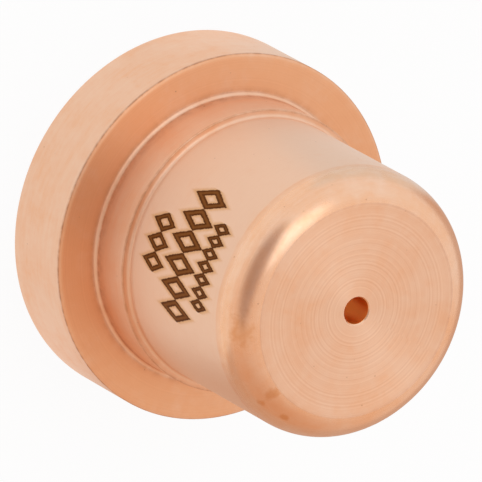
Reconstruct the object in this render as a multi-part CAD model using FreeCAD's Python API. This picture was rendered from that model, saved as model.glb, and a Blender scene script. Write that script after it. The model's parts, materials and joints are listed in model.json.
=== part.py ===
# Plasma torch nozzle, turned in one piece from copper bar.  Millimetres.
#
# The axis is Z.  The origin is the centre of the flange's rear face, on which
# the nozzle stands, and +Z runs towards the nose, where the arc comes out.
# Outside, from the rear: clamping flange, short pilot for the retaining cap,
# plain body, rounded nose.  Inside, from the rear: counterbore that seats the
# swirl ring, plenum round the electrode, cone, arc orifice.

import FreeCAD, Part

import math
import os

# ---- outside sizes ----
overall_length = 14.45
flange_dia = 16.0
flange_thickness = 3.75
pilot_dia = 12.36
pilot_length = 2.11
body_dia = 11.7
nose_radius = 1.55
nose_sweep_deg = 78.0      # short of 90, so the radius meets the face at a faint edge

# ---- inside sizes ----
seat_dia = 11.0
seat_depth = 2.6
plenum_dia = 8.2
cone_included_deg = 110.0
orifice_dia = 1.15
orifice_length = 2.1

# ---- edges ----
root_fillet = 0.16         # flange face to pilot
shoulder_fillet = 0.14     # end of the pilot to body
floor_fillet = 0.5         # plenum wall to cone
rear_edge_break = 0.15
front_edge_width = 0.13    # the flange's front edge is rolled over flatter than 45 degrees
front_edge_drop = 0.03
pilot_edge_break = 0.03
seat_lead_in = 0.3
plenum_lead_in = 0.2
orifice_mouth_break = 0.05

# ---- worked out from the sizes above ----
flange_radius = flange_dia / 2
pilot_radius = pilot_dia / 2
body_radius = body_dia / 2
seat_radius = seat_dia / 2
plenum_radius = plenum_dia / 2
orifice_radius = orifice_dia / 2
pilot_top = flange_thickness + pilot_length
cone_half_deg = cone_included_deg / 2
orifice_entry = overall_length - orifice_length


def at(radius, height):
    """Point of the section, on the XZ plane."""
    return FreeCAD.Vector(radius, 0, height)


def lines(points):
    """Straight edges that join the points in order."""
    return [Part.LineSegment(start, end).toShape() for start, end in zip(points, points[1:])]


def curl_in(wall_radius, height, arc_radius, sweep_deg):
    """Arc that leaves an upright wall tangentially and curls in towards the axis."""
    def on_arc(share):
        angle = math.radians(sweep_deg * share)
        return at(wall_radius - arc_radius * (1 - math.cos(angle)),
                  height + arc_radius * math.sin(angle))
    return Part.Arc(on_arc(0), on_arc(0.5), on_arc(1))


def turned(section):
    """Solid swept by one full turn of a closed section about the axis."""
    face = Part.Face(Part.Wire(section))
    return face.revolve(FreeCAD.Vector(0, 0, 0), FreeCAD.Vector(0, 0, 1), 360)


def outside():
    """Flange, pilot and body, closed by the nose radius and the flat nose face."""
    nose_height = nose_radius * math.sin(math.radians(nose_sweep_deg))
    nose = curl_in(body_radius, overall_length - nose_height, nose_radius, nose_sweep_deg)
    steps = lines([
        at(0, 0),
        at(flange_radius, 0),
        at(flange_radius, flange_thickness - front_edge_drop),
        at(flange_radius - front_edge_width, flange_thickness),
        at(pilot_radius, flange_thickness),
        at(pilot_radius, pilot_top),
        at(body_radius, pilot_top),
        nose.StartPoint,
    ])
    front = lines([nose.EndPoint, at(0, overall_length), at(0, 0)])
    return turned(steps + [nose.toShape()] + front)


def bores():
    """Everything that is bored and drilled out, from the rear face to the nose face."""
    cone_half = math.radians(cone_half_deg)
    cone_base = orifice_entry - (plenum_radius - orifice_radius) / math.tan(cone_half)
    wall_top = cone_base - floor_fillet * math.tan(cone_half / 2)
    floor = curl_in(plenum_radius, wall_top, floor_fillet, cone_half_deg)
    rear = lines([
        at(0, 0),
        at(seat_radius, 0),
        at(seat_radius, seat_depth),
        at(plenum_radius, seat_depth),
        floor.StartPoint,
    ])
    front = lines([
        floor.EndPoint,
        at(orifice_radius, orifice_entry),
        at(orifice_radius, overall_length),
        at(0, overall_length),
        at(0, 0),
    ])
    return turned(rear + [floor.toShape()] + front)


def ring(shape, radius, height):
    """The circular edge where two turned faces meet at this radius and height."""
    def matches(edge):
        circle = edge.Curve
        return (isinstance(circle, Part.Circle)
                and abs(circle.Radius - radius) < 1e-6
                and abs(circle.Center.z - height) < 1e-6)
    return [edge for edge in shape.Edges if matches(edge)]


def broken_edges(shape):
    """The same solid with its two outside corners filleted, and each sharp edge broken or led in."""
    fillets = [
        (root_fillet, pilot_radius, flange_thickness),
        (shoulder_fillet, body_radius, pilot_top),
    ]
    chamfers = [
        (rear_edge_break, flange_radius, 0),
        (pilot_edge_break, pilot_radius, pilot_top),
        (seat_lead_in, seat_radius, 0),
        (plenum_lead_in, plenum_radius, seat_depth),
        (orifice_mouth_break, orifice_radius, overall_length),
    ]
    for size, radius, height in fillets:
        shape = shape.makeFillet(size, ring(shape, radius, height))
    for size, radius, height in chamfers:
        shape = shape.makeChamfer(size, ring(shape, radius, height))
    return shape


nozzle = broken_edges(outside().cut(bores()))
os.makedirs("parts", exist_ok=True)
nozzle.exportStep("parts/nozzle.step")
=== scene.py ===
import json
import math

import bpy
import numpy as np
from mathutils import Matrix, Vector


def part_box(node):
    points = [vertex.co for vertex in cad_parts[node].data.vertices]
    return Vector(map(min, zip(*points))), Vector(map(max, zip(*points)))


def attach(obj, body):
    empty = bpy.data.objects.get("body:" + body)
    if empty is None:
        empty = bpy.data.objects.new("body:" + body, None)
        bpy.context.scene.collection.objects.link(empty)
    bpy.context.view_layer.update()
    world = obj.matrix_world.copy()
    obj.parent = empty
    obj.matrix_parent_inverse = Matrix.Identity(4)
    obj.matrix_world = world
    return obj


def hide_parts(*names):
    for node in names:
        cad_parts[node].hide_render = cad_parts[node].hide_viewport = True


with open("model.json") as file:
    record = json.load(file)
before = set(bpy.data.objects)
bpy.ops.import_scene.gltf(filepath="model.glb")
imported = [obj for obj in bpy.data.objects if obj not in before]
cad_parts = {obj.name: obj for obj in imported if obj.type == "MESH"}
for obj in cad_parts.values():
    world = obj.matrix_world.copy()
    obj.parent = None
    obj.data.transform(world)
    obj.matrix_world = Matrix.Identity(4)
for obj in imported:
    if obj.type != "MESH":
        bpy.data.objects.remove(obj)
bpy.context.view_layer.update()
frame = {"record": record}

# A plasma torch nozzle turned from copper bar, standing on its rear face at the origin, nose up +Z.
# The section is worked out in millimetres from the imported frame, as (radius, height).  The side at -Y
# faces the camera, and directions round the axis are measured from it, positive towards +X.
MM = 0.001

scene = bpy.context.scene
top_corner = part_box("nozzle")[1]
mounts = {mount["name"]: mount for mount in frame["record"]["mounts"]}


def mount_radius(name):
    return mounts[name]["dims"]["r_mm"]


# ---- outside sizes, mm ----
overall_length = top_corner.z / MM
flange_radius = top_corner.x / MM
flange_thickness = mounts["clamp_shoulder"]["pos_m"][2] / MM
pilot_radius = mount_radius("cap_pilot")
pilot_length = 2.11
pilot_top = flange_thickness + pilot_length
body_radius = 5.85
nose_radius = 1.55
nose_sweep_deg = 78.0
nose_start = overall_length - nose_radius * math.sin(math.radians(nose_sweep_deg))
face_radius = body_radius - nose_radius * (1 - math.cos(math.radians(nose_sweep_deg)))

# ---- inside sizes, mm ----
seat_radius = mount_radius("swirl_ring_seat")
seat_depth = 2.6
plenum_radius = 4.1
cone_half_deg = 55.0
orifice_radius = mount_radius("arc_orifice")
orifice_length = 2.1
orifice_entry = overall_length - orifice_length

# ---- edges, mm ----
root_fillet = 0.16
shoulder_fillet = 0.14
floor_fillet = 0.5
rear_edge_break = 0.15
front_edge_width = 0.13
front_edge_drop = 0.03
pilot_edge_break = 0.03
seat_lead_in = 0.3
plenum_lead_in = 0.2
orifice_mouth_break = 0.05


# ------------------------------------------------------------------ the turned section

class Section:
    """Points of the closed section, with what the finish of each one needs.

    warm: 0 where the surface was tumbled pale, 1 where the tool left it bright orange, up to 2 in
    the orifice, where a painted reflection turns it red-orange for the light that comes out red from
    many reflections.
    tooling: how deep the tool marks are, 1 on the nose face.
    grime and shade: darkening in a corner or beside a burr, partly dirt and partly painted shade where
    shade falls, and painted shade that dims the highlights of some edges.
    """

    def __init__(self):
        self.points = []
        self.finish = []

    def add(self, point, warm, tooling, grime=0.0):
        self.points.append(point)
        self.finish.append((warm, tooling, grime))

    def line(self, start, end, step, warm, tooling, grime=(0.0, 0.0), reach=0.25):
        """Straight run without its end point; the grime and painted shade fade out over reach from
        either end.
        """
        length = math.dist(start, end)
        count = max(1, round(length / step))
        for i in range(count):
            share = i / count
            point = tuple(a + (b - a) * share for a, b in zip(start, end))
            dirt_and_shade = max(grime[0] * max(0, 1 - share * length / reach),
                       grime[1] * max(0, 1 - (1 - share) * length / reach))
            self.add(point, warm, tooling, dirt_and_shade)

    def arc(self, centre, radius, start_deg, end_deg, count, warm, tooling, grime=None):
        """Arc without its end point, angles from the +radius direction; the grime and painted shade have
        a value a point.
        """
        for i in range(count):
            angle = math.radians(start_deg + (end_deg - start_deg) * i / count)
            self.add((centre[0] + radius * math.cos(angle), centre[1] + radius * math.sin(angle)),
                     warm, tooling, grime[i] if grime else 0.0)


def outside(section):
    """Rear face, rim, flange face, pilot, body and nose, up to the mouth of the orifice."""
    rim_end = (flange_radius, flange_thickness - front_edge_drop)
    flange_front = (flange_radius - front_edge_width, flange_thickness)
    root_centre = (pilot_radius + root_fillet, flange_thickness + root_fillet)
    pilot_end = (pilot_radius, pilot_top - pilot_edge_break)
    shoulder_edge = (pilot_radius - pilot_edge_break, pilot_top)
    shoulder_centre = (body_radius + shoulder_fillet, pilot_top + shoulder_fillet)

    # rear face and its broken edge
    section.line((seat_radius + seat_lead_in, 0), (flange_radius - rear_edge_break, 0),
                 step=0.2, warm=0.5, tooling=0.6)
    section.arc((flange_radius - rear_edge_break, rear_edge_break), rear_edge_break, -90, 0,
                count=4, warm=0.4, tooling=0.2)
    # rim, the edge rolled over at its front, and the flange face
    # the rim's top and the rolled edge are darkened, partly dirt and partly painted shade under the burr
    section.line((flange_radius, rear_edge_break), rim_end,
                 step=0.05, warm=0.35, tooling=0.15, grime=(0.0, 1.0), reach=0.13)
    section.line(rim_end, flange_front,
                 step=0.035, warm=0.7, tooling=0.1, grime=(0.8, 0.0), reach=0.04)
    # painted shade darkens the flange face towards the corner at the root
    section.line(flange_front, (root_centre[0], flange_thickness),
                 step=0.1, warm=0.9, tooling=0.35, grime=(0.0, 0.3))
    # root, pilot and shoulder
    # painted shade darkens both ends of the root fillet, which narrows its highlight, and the foot of
    # the pilot
    section.arc(root_centre, root_fillet, 270, 180,
                count=7, warm=0.4, tooling=0.1, grime=(0.3, 0.0, 0.0, 0.0, 0.1, 0.3, 0.5))
    section.line((pilot_radius, root_centre[1]), pilot_end,
                 step=0.07, warm=0.35, tooling=0.25, grime=(0.4, 0.0), reach=0.5)
    # painted shade darkens the pilot's top edge and the start of the shoulder, so that the edge shows no
    # highlight
    section.line(pilot_end, shoulder_edge, step=0.02, warm=0.6, tooling=0.1, grime=(0.1, 0.4))
    section.line(shoulder_edge, (shoulder_centre[0], pilot_top),
                 step=0.04, warm=0.5, tooling=0.1, grime=(0.4, 0.0), reach=0.08)
    section.arc(shoulder_centre, shoulder_fillet, 270, 180, count=6, warm=0.3, tooling=0.1)
    # body, nose rounding and nose face
    section.line((body_radius, shoulder_centre[1]), (body_radius, nose_start),
                 step=0.12, warm=0.0, tooling=0.15)
    section.arc((body_radius - nose_radius, nose_start), nose_radius, 0, nose_sweep_deg,
                count=36, warm=0.5, tooling=0.2)
    # the nose face is darker at its outer edge
    section.line((face_radius, overall_length), (orifice_radius + orifice_mouth_break, overall_length),
                 step=0.06, warm=0.3, tooling=1.0, grime=(0.15, 0.0), reach=0.08)


def inside(section):
    """Mouth, orifice, cone, plenum and the counterbore for the swirl ring, back to the rear face."""
    half = math.radians(cone_half_deg)
    cone_base = orifice_entry - (plenum_radius - orifice_radius) / math.tan(half)
    wall_top = cone_base - floor_fillet * math.tan(half / 2)
    floor_centre = (plenum_radius - floor_fillet, wall_top)
    cone_start = (floor_centre[0] + floor_fillet * math.cos(half),
                  wall_top + floor_fillet * math.sin(half))
    orifice_top = (orifice_radius, overall_length - orifice_mouth_break)
    orifice_bottom = (orifice_radius, orifice_entry)
    plenum_bottom = (plenum_radius, seat_depth + plenum_lead_in)
    seat_inner = (plenum_radius + plenum_lead_in, seat_depth)
    seat_corner = (seat_radius, seat_depth)
    seat_mouth = (seat_radius, seat_lead_in)

    # mouth and orifice
    section.line((orifice_radius + orifice_mouth_break, overall_length), orifice_top,
                 step=0.03, warm=0.2, tooling=0.1)
    # painted reflection: warm 2 paints the orifice red-orange, and warm 1.5 paints the cone halfway to
    # it, for light that comes out red from many reflections
    section.line(orifice_top, orifice_bottom, step=0.12, warm=2.0, tooling=0.5)
    # cone and plenum
    # painted shade darkens the cone at the corner where the orifice begins
    section.line(orifice_bottom, cone_start, step=0.3, warm=1.5, tooling=0.8, grime=(0.3, 0.0))
    section.arc(floor_centre, floor_fillet, cone_half_deg, 0, count=5, warm=0.8, tooling=0.4)
    section.line((plenum_radius, wall_top), plenum_bottom, step=0.4, warm=0.6, tooling=0.7)
    section.line(plenum_bottom, seat_inner, step=0.1, warm=0.5, tooling=0.3)
    # counterbore
    # painted shade darkens the inner corner of the counterbore
    section.line(seat_inner, seat_corner, step=0.2, warm=0.6, tooling=0.7, grime=(0.0, 0.5))
    section.line(seat_corner, seat_mouth, step=0.25, warm=0.5, tooling=0.5, grime=(0.5, 0.0))
    section.line(seat_mouth, (seat_radius + seat_lead_in, 0), step=0.1, warm=0.4, tooling=0.3)


def ripple(along, wavelengths, draw):
    """Sum of sine waves with random phases, from 0 to 1."""
    total = sum(np.sin(2 * math.pi * along / wave + draw.uniform(0, 2 * math.pi))
                for wave in wavelengths)
    return 0.5 + 0.5 * total / len(wavelengths)


def turned_nozzle(segments=240, ripple_depth=0.0006, ripple_waves=(0.31, 0.43, 0.67), crease_deg=24):
    """One closed mesh of revolution with shallow tool ripples cut into it, lengths in mm."""
    draw = np.random.default_rng(7)
    section = Section()
    outside(section)
    inside(section)
    profile = np.array(section.points)
    warm, tooling, grime = np.array(section.finish).T

    steps = np.roll(profile, -1, axis=0) - profile
    along = np.concatenate([[0], np.cumsum(np.hypot(*steps.T))[:-1]])
    tangent = np.roll(profile, -1, axis=0) - np.roll(profile, 1, axis=0)
    tangent /= np.hypot(*tangent.T)[:, None]
    into_metal = np.stack([-tangent[:, 1], tangent[:, 0]], axis=1)
    depth = ripple_depth * tooling * ripple(along, ripple_waves, draw)
    profile = profile + into_metal * depth[:, None]

    turn = np.arange(segments) * 2 * math.pi / segments
    radius, height = profile[:, 0, None], profile[:, 1, None]
    points = np.stack([radius * np.cos(turn), radius * np.sin(turn),
                       np.broadcast_to(height, (len(profile), segments))], axis=-1).reshape(-1, 3)
    ring = np.arange(len(profile))[:, None] * segments
    next_ring = np.roll(ring, -1, axis=0)
    here = np.arange(segments)[None]
    there = (here + 1) % segments
    faces = np.stack([ring + here, ring + there, next_ring + there, next_ring + here],
                     axis=-1).reshape(-1, 4)

    mesh = bpy.data.meshes.new("nozzle_turned")
    mesh.from_pydata((points * MM).tolist(), [], faces.tolist())
    mesh.shade_smooth()
    mesh.set_sharp_from_angle(angle=math.radians(crease_deg))
    for name, values in (("along", along), ("warm", warm), ("tooling", tooling), ("grime", grime)):
        attribute = mesh.attributes.new(name, "FLOAT", "POINT")
        attribute.data.foreach_set("value", np.repeat(values, segments).astype(np.float32))
    nozzle = bpy.data.objects.new("nozzle_turned", mesh)
    scene.collection.objects.link(nozzle)
    return nozzle


# ------------------------------------------------------------------ shader building

class Shader:
    """Adds nodes to a tree.  An input is a number, a tuple or another node's output."""

    def __init__(self, owner):
        owner.use_nodes = True
        self.tree = owner.node_tree
        self.tree.nodes.clear()

    def add(self, kind, inputs=(), out=0, **settings):
        node = self.tree.nodes.new("ShaderNode" + kind)
        for name, value in settings.items():
            setattr(node, name, value)
        for key, value in (inputs.items() if isinstance(inputs, dict) else enumerate(inputs)):
            if isinstance(value, bpy.types.NodeSocket):
                self.tree.links.new(value, node.inputs[key])
            else:
                node.inputs[key].default_value = value
        return node.outputs[out] if node.outputs else None

    def math(self, operation, *values, clamp=False):
        return self.add("Math", values, operation=operation, use_clamp=clamp)

    def total(self, *terms):
        result = terms[0]
        for term in terms[1:]:
            result = self.math("ADD", result, term)
        return result

    def product(self, *factors):
        result = factors[0]
        for factor in factors[1:]:
            result = self.math("MULTIPLY", result, factor)
        return result

    def swing(self, value, amount):
        """A value that lies between 0 and 1, centred on nought and stretched by amount."""
        return self.product(self.math("SUBTRACT", value, 0.5), amount)

    def hypotenuse(self, across, up):
        return self.math("SQRT", self.total(self.math("POWER", across, 2.0),
                                            self.math("POWER", up, 2.0)))

    def ramp(self, value, start, end, low=0.0, high=1.0):
        """Smooth step from low to high while value goes from start to end."""
        return self.add("MapRange", {"Value": value, "From Min": start, "From Max": end,
                                     "To Min": low, "To Max": high}, interpolation_type="SMOOTHSTEP")

    def blend(self, factor, first, second):
        return self.add("Mix", {0: factor, 6: first, 7: second}, out=2, data_type="RGBA")

    def dot(self, vector, axis):
        return self.add("VectorMath", [vector, tuple(axis)], out="Value", operation="DOT_PRODUCT")

    def noise(self, place, scale, detail=2.0, roughness=0.5, distortion=0.0):
        return self.add("TexNoise", {"Vector": place, "Scale": scale, "Detail": detail,
                                     "Roughness": roughness, "Distortion": distortion})

    def rings(self, along, scale):
        return self.add("TexNoise", {"W": along, "Scale": scale, "Detail": 1.0}, noise_dimensions="1D")

    def attribute(self, name):
        return self.add("Attribute", out="Fac", attribute_name=name)


def rgb(red, green, blue):
    return (red, green, blue, 1.0)


# ------------------------------------------------------------------ copper

def burnt_marks(s, turn, height, grain):
    """Three bands of plain lozenges burnt into the body by a laser, facing the camera.

    Gives how far a point lies inside a burnt stroke, in mm, below 0 outside.
    """
    half_share = 0.45     # half the width of a lozenge, as a share of its cell
    stroke_path = 0.82    # where the middle of a stroke runs, 0 in the centre and 1 at the corners
    ragged_edge = 0.09    # mm
    bands = (  # first edge and width of one lozenge in degrees, how many, bottom, top and stroke in mm
        (1.9, 8.5, 3, 6.9, 8.4, 0.24),
        (-16.0, 9.9, 6, 8.55, 10.7, 0.28),
        (-5.0, 5.5, 7, 10.9, 12.0, 0.2),
    )
    into_stroke = None
    for start_deg, width_deg, count, bottom, top, stroke in bands:
        cell = s.math("DIVIDE", s.math("SUBTRACT", turn, math.radians(start_deg)),
                      math.radians(width_deg))
        cell_width = math.radians(width_deg) * body_radius
        half_width, half_height = half_share * cell_width, (top - bottom) / 2
        across = s.product(s.math("ABSOLUTE", s.math("SUBTRACT", s.math("FRACT", cell), 0.5)),
                           cell_width / half_width)
        upright = s.math("DIVIDE", s.math("ABSOLUTE", s.math("SUBTRACT", height, (bottom + top) / 2)),
                         half_height)
        off_path = s.math("SUBTRACT", s.total(across, upright), stroke_path)
        distance = s.product(s.math("ABSOLUTE", off_path),
                             1 / math.hypot(1 / half_width, 1 / half_height))
        depth = s.math("SUBTRACT", stroke / 2, distance)
        # beyond the first and last lozenge of the band, the depth drops to -1 mm
        in_band = s.math("COMPARE", cell, count / 2, count / 2)
        depth = s.math("SUBTRACT", s.product(s.total(depth, 1.0), in_band), 1.0)
        into_stroke = depth if into_stroke is None else s.math("MAXIMUM", into_stroke, depth)
    return s.total(into_stroke, s.swing(grain, ragged_edge))


def heat_stains(s, turn, height, off_face, blotches, mottle):
    """Brown stains on the rounding of the nose, where something hot has touched it."""
    raggedness = 2.4
    stains = (  # direction in degrees, height in mm, reach round in mm, reach up in mm, strength
        (71.0, 14.3, 0.36, 0.13, 0.6),
        (73.0, 13.95, 0.28, 0.12, 0.5),
        (86.0, 14.1, 0.3, 0.1, 0.6),
        (35.0, 14.05, 0.9, 0.34, 0.5),
    )
    strongest = None
    for azimuth_deg, centre, reach_round, reach_up, strength in stains:
        across = s.product(s.math("SUBTRACT", turn, math.radians(azimuth_deg)),
                           body_radius / reach_round)
        up = s.math("DIVIDE", s.math("SUBTRACT", height, centre), reach_up)
        distance = s.total(s.hypotenuse(across, up), s.swing(mottle, raggedness))
        stain = s.ramp(distance, 1.3, 0.3, 0.0, strength)
        strongest = stain if strongest is None else s.math("MAXIMUM", strongest, stain)
    return s.product(strongest, off_face, s.ramp(blotches, 0.2, 0.5))


def turned_copper():
    """Satin copper.  Its tool marks run round the axis and stretch each reflection across them."""
    pale, orange, painted_bore_red = rgb(0.94, 0.64, 0.46), rgb(0.92, 0.5, 0.28), rgb(1.0, 0.36, 0.05)
    mark_brown = rgb(0.62, 0.27, 0.13)
    speck_brown = rgb(0.3, 0.13, 0.07)
    grime_and_shade_brown = rgb(0.36, 0.13, 0.06)
    stain_brown = rgb(0.72, 0.3, 0.09)
    scorched = rgb(0.7, 0.33, 0.07)
    burnt_edge, burnt_middle = rgb(0.11, 0.028, 0.004), rgb(0.26, 0.09, 0.02)
    feed = 0.12           # mm that the tool moved on in one turn
    bump_depth = 0.003    # mm

    material = bpy.data.materials.new("turned_copper")
    s = Shader(material)
    place = s.add("VectorMath", {0: s.add("TexCoord", out="Object"), "Scale": 1 / MM},
                  operation="SCALE")
    x, y, z = s.add("SeparateXYZ", [place]).node.outputs
    turn = s.math("ARCTAN2", x, s.product(y, -1.0))
    along, warm = s.attribute("along"), s.attribute("warm")
    tooling, grime = s.attribute("tooling"), s.attribute("grime")
    off_face = s.ramp(tooling, 0.5, 0.3)

    # tool marks: one long spiral, so the distance along the section creeps with the turn
    spiral = s.total(along, s.product(turn, feed / (2 * math.pi)))
    fine_rings = s.rings(spiral, 13.0)
    broad_rings = s.rings(spiral, 1.7)

    # unevenness, from large to small
    blotches = s.noise(place, 0.5, 4.0, 0.6, 0.3)
    streaks = s.noise(s.add("VectorMath", [place, (0.5, 0.5, 4.0)], operation="MULTIPLY"),
                      1.1, 4.0, 0.65)
    mottle = s.noise(place, 2.6, 3.0, 0.6)
    grain = s.noise(place, 9.0, 2.0, 0.6)

    # colour of the metal
    warmth = s.total(warm, s.swing(blotches, 1.1), s.swing(streaks, 0.7), s.swing(mottle, 0.3))
    colour = s.blend(s.ramp(warmth, 0.0, 1.0), pale, orange)
    # painted reflection: above warm 1, in the cone and orifice, the colour turns red-orange for light
    # that comes out red from many reflections
    colour = s.blend(s.ramp(warm, 1.0, 2.0), colour, painted_bore_red)
    ring_tone = s.swing(fine_rings, tooling)
    colour = s.blend(s.math("ADD", 0.1, s.product(ring_tone, 0.4), clamp=True), colour, mark_brown)

    # specks, stains, and grime with painted shade in corners and at edges
    specks = s.add("TexVoronoi", {"Vector": place, "Scale": 1.7}, out="Distance")
    speck = s.product(s.ramp(specks, 0.075, 0.03), s.ramp(mottle, 0.5, 0.62))
    colour = s.blend(s.product(speck, 0.45), colour, speck_brown)
    # painted shade: corners and edges turn towards brown, partly dirt and partly shade
    colour = s.blend(s.product(grime, s.ramp(mottle, 0.35, 0.65, 0.35, 0.85)), colour, grime_and_shade_brown)
    colour = s.blend(heat_stains(s, turn, z, off_face, blotches, mottle), colour, stain_brown)

    # laser marking, with a scorched halo round each stroke
    into_stroke = burnt_marks(s, turn, z, grain)
    on_body = s.ramp(warm, 0.2, 0.1)
    burn = s.product(s.ramp(into_stroke, -0.02, 0.03), on_body)
    halo = s.product(s.ramp(into_stroke, -0.2, 0.0), on_body)
    colour = s.blend(s.product(halo, 0.55), colour, scorched)
    burnt = s.blend(s.ramp(into_stroke, 0.03, 0.13), burnt_edge, burnt_middle)
    colour = s.blend(burn, colour, burnt)

    # finish: smoother on the rounding of the nose, rougher in the burnt strokes
    polished = s.product(s.ramp(z, nose_start - 0.1, nose_start + 0.4), off_face)
    roughness = s.total(0.38, s.product(mottle, 0.12), s.product(burn, 0.1),
                        s.product(polished, -0.19))
    height = s.total(s.product(fine_rings, tooling), s.product(broad_rings, tooling, 0.3),
                     s.product(mottle, 0.5), s.product(grain, 0.18), s.product(burn, -1.5))
    normal = s.add("Bump", {"Strength": 1.0, "Distance": bump_depth * MM, "Height": height})
    tangent = s.add("Tangent", direction_type="RADIAL", axis="Z")
    surface = s.add("BsdfPrincipled", {
        "Base Color": colour, "Metallic": 1.0, "Roughness": roughness, "Normal": normal,
        "Tangent": tangent, "Anisotropic": 0.65, "Anisotropic Rotation": 0.25})
    s.add("OutputMaterial", [surface])
    return material


# ------------------------------------------------------------------ surroundings

def direction(azimuth_deg, elevation_deg):
    """Unit vector towards a direction round the axis from the camera's side, and up from the floor."""
    azimuth, elevation = math.radians(azimuth_deg), math.radians(elevation_deg)
    return Vector((math.sin(azimuth) * math.cos(elevation), -math.cos(azimuth) * math.cos(elevation),
                   math.sin(elevation)))


def pale_floor(side=0.6, gap=0.02 * MM):
    """White table, a hair below the rear face so that the two never share a plane.

    It keeps the nozzle's shadow.  What the metal reflects of it is painted: a faint blue tint on one
    side for cooler light, and on the other a dim copper-coloured patch near the nozzle, a painted shadow
    with painted bounce light from the metal.
    """
    mesh = bpy.data.meshes.new("floor")
    half = side / 2
    corners = [(-half, -half, -gap), (half, -half, -gap), (half, half, -gap), (-half, half, -gap)]
    mesh.from_pydata(corners, [], [(0, 1, 2, 3)])
    floor = bpy.data.objects.new("floor", mesh)
    scene.collection.objects.link(floor)
    material = bpy.data.materials.new("pale_floor")
    s = Shader(material)
    lit = s.add("BsdfDiffuse", {"Color": rgb(0.93, 0.93, 0.93)})
    path = s.add("LightPath").node
    reflected = s.math("MAXIMUM", path.outputs["Is Glossy Ray"], path.outputs["Is Transmission Ray"])
    place = s.add("TexCoord", out="Object")

    def towards(azimuth_deg, start, end):
        """Where the metal sees the table in that direction, start to end mm from the axis."""
        outwards = s.dot(place, direction(azimuth_deg, 0))
        return s.product(s.ramp(outwards, start * MM, end * MM), reflected)

    # painted light, seen only in reflections: a bluish tint for cooler light on one side, and on the
    # other a dim copper-coloured patch that is painted shadow and painted bounce light
    painted_reflection_tone = s.blend(towards(-145.0, 2.0, 8.0), rgb(1, 1, 1), rgb(0.83, 0.91, 0.97))
    painted_reflection_tone = s.blend(towards(150.0, 3.0, 11.0), painted_reflection_tone, rgb(0.66, 0.5, 0.41))
    white = s.add("Emission", {"Color": painted_reflection_tone, "Strength": 1.0})
    share = s.math("MAXIMUM", s.product(path.outputs["Is Camera Ray"], 0.93), s.product(reflected, 0.95))
    s.add("OutputMaterial", [s.add("MixShader", [share, lit, white])])
    mesh.materials.append(material)


def light_tent(opening_azimuth=12.0, opening_elevation=45.0, half_width=34.0, half_height=21.0):
    """A white tent all round, dimmer at the opening that the photograph is taken through.

    It turns warmer towards the side that is lower in the picture, as the metal shows it there.
    """
    world = bpy.data.worlds.new("light_tent")
    scene.world = world
    s = Shader(world)
    towards = s.add("TexCoord", out="Generated")

    centre = direction(opening_azimuth, opening_elevation)
    side = Vector((-centre.y, centre.x, 0)).normalized()
    across = s.math("DIVIDE", s.dot(towards, side), math.sin(math.radians(half_width)))
    up = s.math("DIVIDE", s.dot(towards, centre.cross(side)), math.sin(math.radians(half_height)))
    ahead = s.ramp(s.dot(towards, centre), 0.0, 0.2)
    opening = s.product(s.ramp(s.hypotenuse(across, up), 1.15, 0.85), ahead)

    lower_side = s.dot(towards, direction(110.0, 10.0))
    tent = s.blend(s.ramp(lower_side, -0.3, 0.6), rgb(0.97, 0.99, 1.03), rgb(0.9, 0.77, 0.68))
    tent = s.blend(s.ramp(lower_side, 0.5, 1.05), tent, rgb(0.7, 0.47, 0.34))
    tent = s.blend(opening, tent, rgb(0.46, 0.37, 0.35))
    path = s.add("LightPath").node
    shown = s.blend(path.outputs["Is Camera Ray"], tent, rgb(1, 1, 1))
    s.add("OutputWorld", [s.add("Background", {"Color": shown, "Strength": 1.0})])


def soft_light(name, towards, distance, spread_deg, radiance, tint):
    """Square soft box that shows as a patch spread_deg across and of that radiance in the metal."""
    size = 2 * distance * math.tan(math.radians(spread_deg) / 2)
    lamp = bpy.data.lights.new(name, "AREA")
    lamp.size = size
    lamp.energy = math.pi * size * size * radiance
    lamp.color = tint
    light = bpy.data.objects.new(name, lamp)
    scene.collection.objects.link(light)
    light.location = towards * distance
    light.rotation_euler = towards.to_track_quat("Z", "Y").to_euler()


def camera(elevation_deg=53.95, roll_deg=119.01, distance=0.5592, lens=998.3):
    """Long lens from the -Y side, rolled so that the axis runs down to the right of the picture."""
    roll = math.radians(roll_deg)
    aim = Vector((-0.21, 0.0, 4.97)) * MM
    back = direction(0, elevation_deg)
    level = Vector((1, 0, 0))
    right = math.cos(roll) * level + math.sin(roll) * back.cross(level)
    up = back.cross(right)
    data = bpy.data.cameras.new("camera")
    data.lens = lens
    data.sensor_width = 36.0
    view = bpy.data.objects.new("camera", data)
    scene.collection.objects.link(view)
    turned = Matrix((right, up, back)).transposed().to_4x4()
    view.matrix_world = Matrix.Translation(aim + back * distance) @ turned
    scene.camera = view


nozzle = turned_nozzle()
nozzle.data.materials.append(turned_copper())
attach(nozzle, "root")
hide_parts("nozzle")

pale_floor()
light_tent()
soft_light("overhead", direction(-57.0, 70.0), distance=0.35, spread_deg=30.0, radiance=0.72,
           tint=(0.85, 0.94, 1.0))
camera()
scene.view_settings.view_transform = "Standard"
